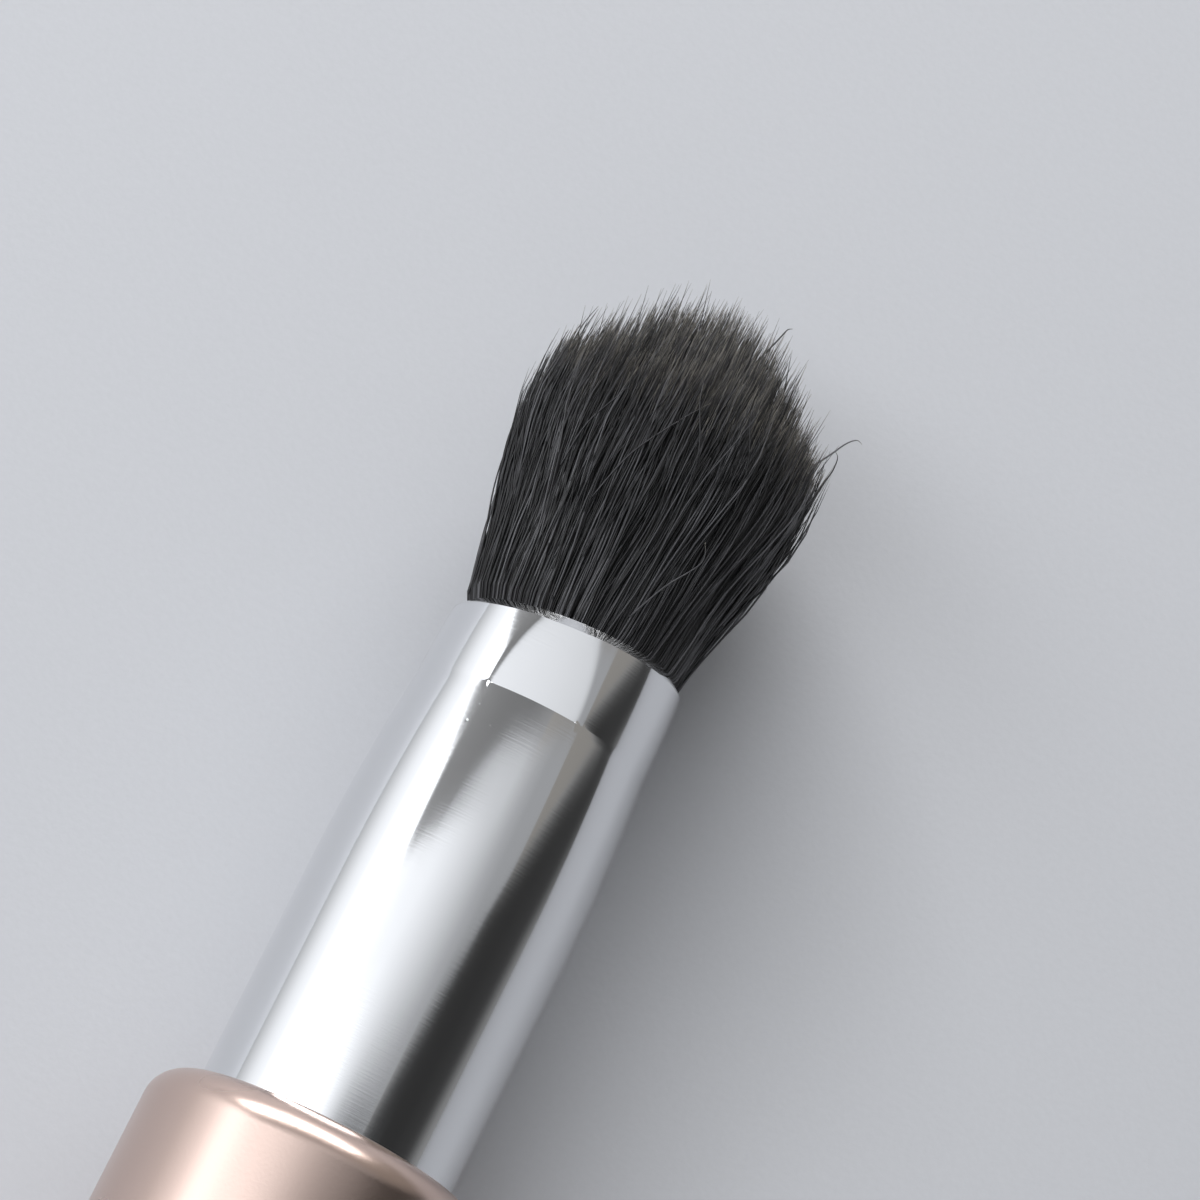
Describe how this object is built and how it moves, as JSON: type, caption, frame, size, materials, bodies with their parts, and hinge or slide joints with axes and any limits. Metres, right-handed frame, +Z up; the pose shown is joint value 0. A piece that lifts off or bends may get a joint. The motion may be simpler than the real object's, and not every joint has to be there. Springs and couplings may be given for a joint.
{
  "type": "eyeshadow brush",
  "caption": "Slim make-up brush: dome-shaped black hair tuft in a polished round ferrule on a straight metallic tube handle with a tapered tail.",
  "frame": {"origin": "centre of the bounding box at its base: under the middle of the length, on the surface that the barrel rests on", "axes": "+Y along the brush from the butt to the tip of the hair, +Z up from the surface it lies on, +X to the right seen from above with the tip away"},
  "size_m": [0.0104, 0.1678, 0.0104],
  "materials": {
    "hair": "black synthetic filament, soft sheen",
    "thread": "waxed thread",
    "epoxy": "cured epoxy",
    "ferrule_metal": "bright polished",
    "insert_plastic": "as moulded",
    "handle_metal": "rose-gold anodised, satin"
  },
  "bodies": {
    "root": {"bristle_tuft": "hair", "binding_thread": "thread", "root_adhesive": "epoxy", "ferrule": "ferrule_metal", "tenon_adhesive": "epoxy", "handle_core": "insert_plastic", "handle_shell": "handle_metal", "end_cap": "handle_metal"}
  },
  "joints": []
}
